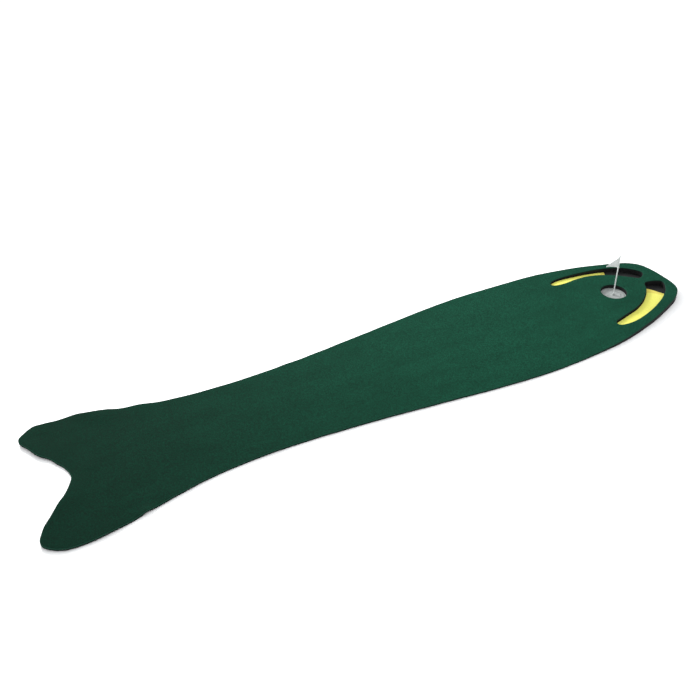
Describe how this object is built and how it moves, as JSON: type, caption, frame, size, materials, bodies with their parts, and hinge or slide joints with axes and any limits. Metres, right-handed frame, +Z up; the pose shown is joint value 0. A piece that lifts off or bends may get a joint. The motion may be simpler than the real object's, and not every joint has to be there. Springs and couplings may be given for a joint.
{
  "type": "practice putting mat",
  "caption": "Fish-shaped roll-up putting mat with a raised foam head, cup, flag and crescent sand traps.",
  "frame": {"origin": "on the floor under the middle of the mat's length and width", "axes": "+X from the tail to the nose, +Y to the left when looking from tail to nose, +Z up"},
  "size_m": [2.743, 0.6118, 0.206],
  "materials": {
    "turf": "short-pile green turf, matte",
    "backing_rubber": "black foamed rubber backing, matte",
    "riser_foam": "black closed-cell foam, matte",
    "cup_plastic": "light grey moulded plastic",
    "trap_felt": "lemon yellow felt",
    "stick_plastic": "white moulded plastic, satin",
    "pennant_cloth": "white woven polyester"
  },
  "bodies": {
    "head": {"turf_head": "turf", "backing_head": "backing_rubber", "foam_riser": "riser_foam", "base_sheet": "backing_rubber", "cup_base": "cup_plastic", "trap_felt_left": "trap_felt", "trap_felt_right": "trap_felt"},
    "flagstick": {"flagstick": "stick_plastic", "stick_cap": "stick_plastic", "flag_collar": "stick_plastic"},
    "flag": {"pennant_sleeve": "pennant_cloth", "pennant": "pennant_cloth"},
    "strip_01": {"turf_01": "turf", "backing_01": "backing_rubber"},
    "strip_02": {"turf_02": "turf", "backing_02": "backing_rubber"},
    "strip_03": {"turf_03": "turf", "backing_03": "backing_rubber"},
    "strip_04": {"turf_04": "turf", "backing_04": "backing_rubber"},
    "strip_05": {"turf_05": "turf", "backing_05": "backing_rubber"},
    "strip_06": {"turf_06": "turf", "backing_06": "backing_rubber"},
    "strip_07": {"turf_07": "turf", "backing_07": "backing_rubber"},
    "strip_08": {"turf_08": "turf", "backing_08": "backing_rubber"},
    "strip_09": {"turf_09": "turf", "backing_09": "backing_rubber"},
    "strip_10": {"turf_10": "turf", "backing_10": "backing_rubber"},
    "strip_11": {"turf_11": "turf", "backing_11": "backing_rubber"},
    "strip_12": {"turf_12": "turf", "backing_12": "backing_rubber"},
    "strip_13": {"turf_13": "turf", "backing_13": "backing_rubber"},
    "strip_14": {"turf_14": "turf", "backing_14": "backing_rubber"},
    "strip_15": {"turf_15": "turf", "backing_15": "backing_rubber"},
    "strip_16": {"turf_16": "turf", "backing_16": "backing_rubber"},
    "strip_17": {"turf_17": "turf", "backing_17": "backing_rubber"},
    "strip_18": {"turf_18": "turf", "backing_18": "backing_rubber"},
    "strip_19": {"turf_19": "turf", "backing_19": "backing_rubber"},
    "strip_20": {"turf_20": "turf", "backing_20": "backing_rubber"},
    "strip_21": {"turf_21": "turf", "backing_21": "backing_rubber"},
    "strip_22": {"turf_22": "turf", "backing_22": "backing_rubber"}
  },
  "joints": [
    {"name": "stick_lift", "type": "slide", "parent": "head", "child": "flagstick", "axis": [0, 0, 1], "range_m": [0, 0.06]},
    {"name": "flag_swivel", "type": "hinge", "parent": "flagstick", "child": "flag", "pos_m": [1.0905, 0, 0.15], "axis": [0, 0, 1], "continuous": true},
    {"name": "fold_01", "type": "hinge", "parent": "head", "child": "strip_01", "pos_m": [0.5085, 0, 0.007], "axis": [0, 1, 0], "range_deg": [0, 36]},
    {"name": "fold_02", "type": "hinge", "parent": "strip_01", "child": "strip_02", "pos_m": [0.41076, 0, 0.007], "axis": [0, 1, 0], "range_deg": [0, 36]},
    {"name": "fold_03", "type": "hinge", "parent": "strip_02", "child": "strip_03", "pos_m": [0.3142, 0, 0.007], "axis": [0, 1, 0], "range_deg": [0, 36]},
    {"name": "fold_04", "type": "hinge", "parent": "strip_03", "child": "strip_04", "pos_m": [0.2188, 0, 0.007], "axis": [0, 1, 0], "range_deg": [0, 36]},
    {"name": "fold_05", "type": "hinge", "parent": "strip_04", "child": "strip_05", "pos_m": [0.12457, 0, 0.007], "axis": [0, 1, 0], "range_deg": [0, 36]},
    {"name": "fold_06", "type": "hinge", "parent": "strip_05", "child": "strip_06", "pos_m": [0.03152, 0, 0.007], "axis": [0, 1, 0], "range_deg": [0, 36]},
    {"name": "fold_07", "type": "hinge", "parent": "strip_06", "child": "strip_07", "pos_m": [-0.06037, 0, 0.007], "axis": [0, 1, 0], "range_deg": [0, 36]},
    {"name": "fold_08", "type": "hinge", "parent": "strip_07", "child": "strip_08", "pos_m": [-0.15109, 0, 0.007], "axis": [0, 1, 0], "range_deg": [0, 36]},
    {"name": "fold_09", "type": "hinge", "parent": "strip_08", "child": "strip_09", "pos_m": [-0.24064, 0, 0.007], "axis": [0, 1, 0], "range_deg": [0, 36]},
    {"name": "fold_10", "type": "hinge", "parent": "strip_09", "child": "strip_10", "pos_m": [-0.32902, 0, 0.007], "axis": [0, 1, 0], "range_deg": [0, 36]},
    {"name": "fold_11", "type": "hinge", "parent": "strip_10", "child": "strip_11", "pos_m": [-0.41623, 0, 0.007], "axis": [0, 1, 0], "range_deg": [0, 36]},
    {"name": "fold_12", "type": "hinge", "parent": "strip_11", "child": "strip_12", "pos_m": [-0.50227, 0, 0.007], "axis": [0, 1, 0], "range_deg": [0, 36]},
    {"name": "fold_13", "type": "hinge", "parent": "strip_12", "child": "strip_13", "pos_m": [-0.58714, 0, 0.007], "axis": [0, 1, 0], "range_deg": [0, 36]},
    {"name": "fold_14", "type": "hinge", "parent": "strip_13", "child": "strip_14", "pos_m": [-0.67084, 0, 0.007], "axis": [0, 1, 0], "range_deg": [0, 36]},
    {"name": "fold_15", "type": "hinge", "parent": "strip_14", "child": "strip_15", "pos_m": [-0.75337, 0, 0.007], "axis": [0, 1, 0], "range_deg": [0, 36]},
    {"name": "fold_16", "type": "hinge", "parent": "strip_15", "child": "strip_16", "pos_m": [-0.83473, 0, 0.007], "axis": [0, 1, 0], "range_deg": [0, 36]},
    {"name": "fold_17", "type": "hinge", "parent": "strip_16", "child": "strip_17", "pos_m": [-0.91492, 0, 0.007], "axis": [0, 1, 0], "range_deg": [0, 36]},
    {"name": "fold_18", "type": "hinge", "parent": "strip_17", "child": "strip_18", "pos_m": [-0.99394, 0, 0.007], "axis": [0, 1, 0], "range_deg": [0, 36]},
    {"name": "fold_19", "type": "hinge", "parent": "strip_18", "child": "strip_19", "pos_m": [-1.07179, 0, 0.007], "axis": [0, 1, 0], "range_deg": [0, 36]},
    {"name": "fold_20", "type": "hinge", "parent": "strip_19", "child": "strip_20", "pos_m": [-1.14847, 0, 0.007], "axis": [0, 1, 0], "range_deg": [0, 36]},
    {"name": "fold_21", "type": "hinge", "parent": "strip_20", "child": "strip_21", "pos_m": [-1.22399, 0, 0.007], "axis": [0, 1, 0], "range_deg": [0, 36]},
    {"name": "fold_22", "type": "hinge", "parent": "strip_21", "child": "strip_22", "pos_m": [-1.29833, 0, 0.007], "axis": [0, 1, 0], "range_deg": [0, 36]}
  ],
  "couplings": [
    {"joint": "fold_02", "follows": "fold_01", "ratio": 1},
    {"joint": "fold_03", "follows": "fold_01", "ratio": 1},
    {"joint": "fold_04", "follows": "fold_01", "ratio": 1},
    {"joint": "fold_05", "follows": "fold_01", "ratio": 1},
    {"joint": "fold_06", "follows": "fold_01", "ratio": 1},
    {"joint": "fold_07", "follows": "fold_01", "ratio": 1},
    {"joint": "fold_08", "follows": "fold_01", "ratio": 1},
    {"joint": "fold_09", "follows": "fold_01", "ratio": 1},
    {"joint": "fold_10", "follows": "fold_01", "ratio": 1},
    {"joint": "fold_11", "follows": "fold_01", "ratio": 1},
    {"joint": "fold_12", "follows": "fold_01", "ratio": 1},
    {"joint": "fold_13", "follows": "fold_01", "ratio": 1},
    {"joint": "fold_14", "follows": "fold_01", "ratio": 1},
    {"joint": "fold_15", "follows": "fold_01", "ratio": 1},
    {"joint": "fold_16", "follows": "fold_01", "ratio": 1},
    {"joint": "fold_17", "follows": "fold_01", "ratio": 1},
    {"joint": "fold_18", "follows": "fold_01", "ratio": 1},
    {"joint": "fold_19", "follows": "fold_01", "ratio": 1},
    {"joint": "fold_20", "follows": "fold_01", "ratio": 1},
    {"joint": "fold_21", "follows": "fold_01", "ratio": 1},
    {"joint": "fold_22", "follows": "fold_01", "ratio": 1}
  ]
}
